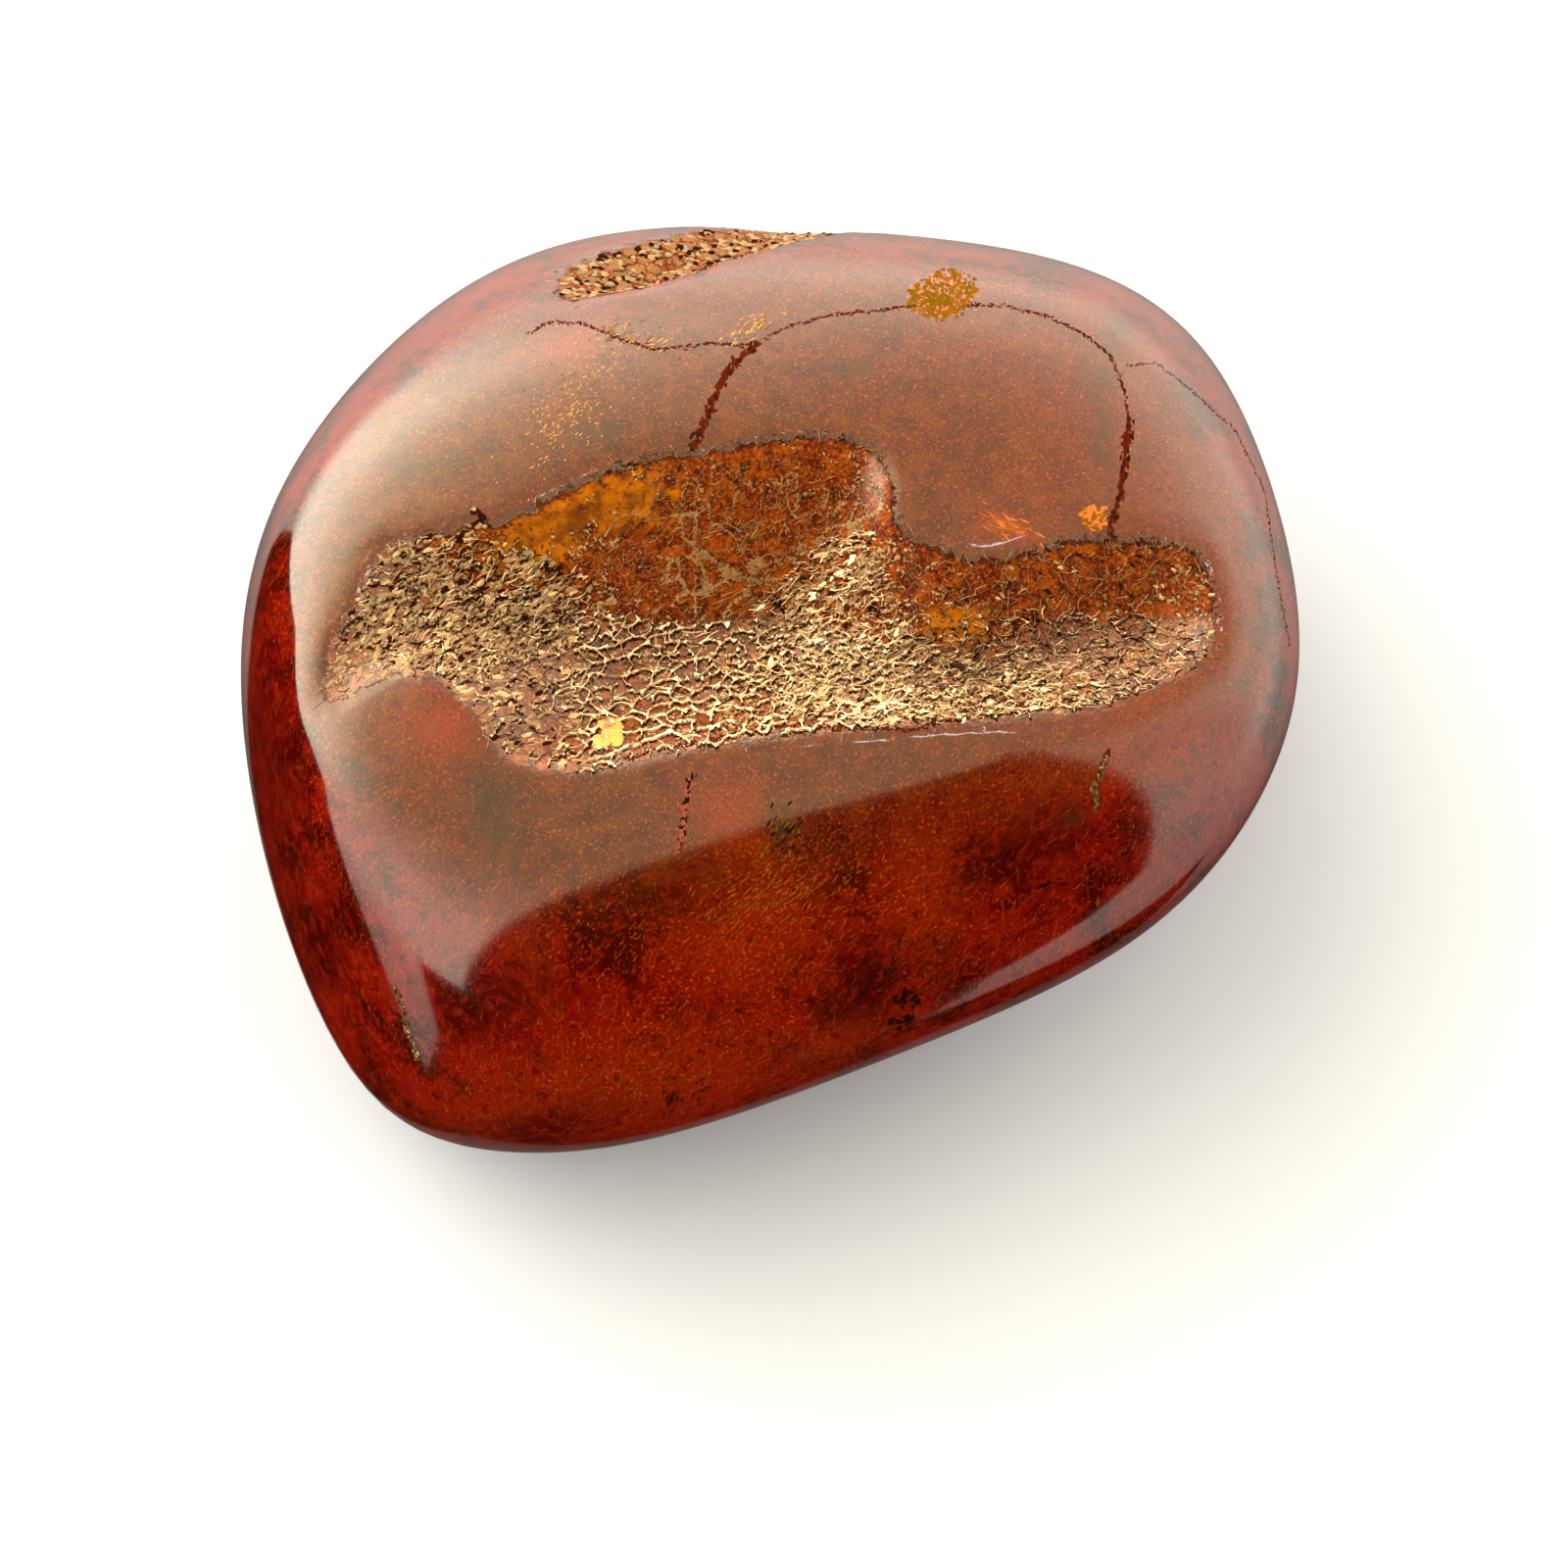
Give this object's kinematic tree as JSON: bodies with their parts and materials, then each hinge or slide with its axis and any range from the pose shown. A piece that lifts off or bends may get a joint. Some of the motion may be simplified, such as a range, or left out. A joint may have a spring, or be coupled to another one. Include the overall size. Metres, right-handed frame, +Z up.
{
  "type": "amber stone",
  "caption": "Polished palm-sized nugget of deep cognac amber with soft corners, its raw natural crust left in a hollow on top and on a ledge at the back.",
  "frame": {"origin": "centre of the stone's box in plan, on the flat that it rests on", "axes": "+X along the stone's longest side, to the right in the picture; +Y away from the picture's camera; +Z up"},
  "size_m": [0.056, 0.052, 0.0278],
  "materials": {
    "amber": "polished, see-through cognac red, with matt tan natural crust in the hollow and on the ledge"
  },
  "bodies": {
    "root": {"stone": "amber"}
  },
  "joints": []
}
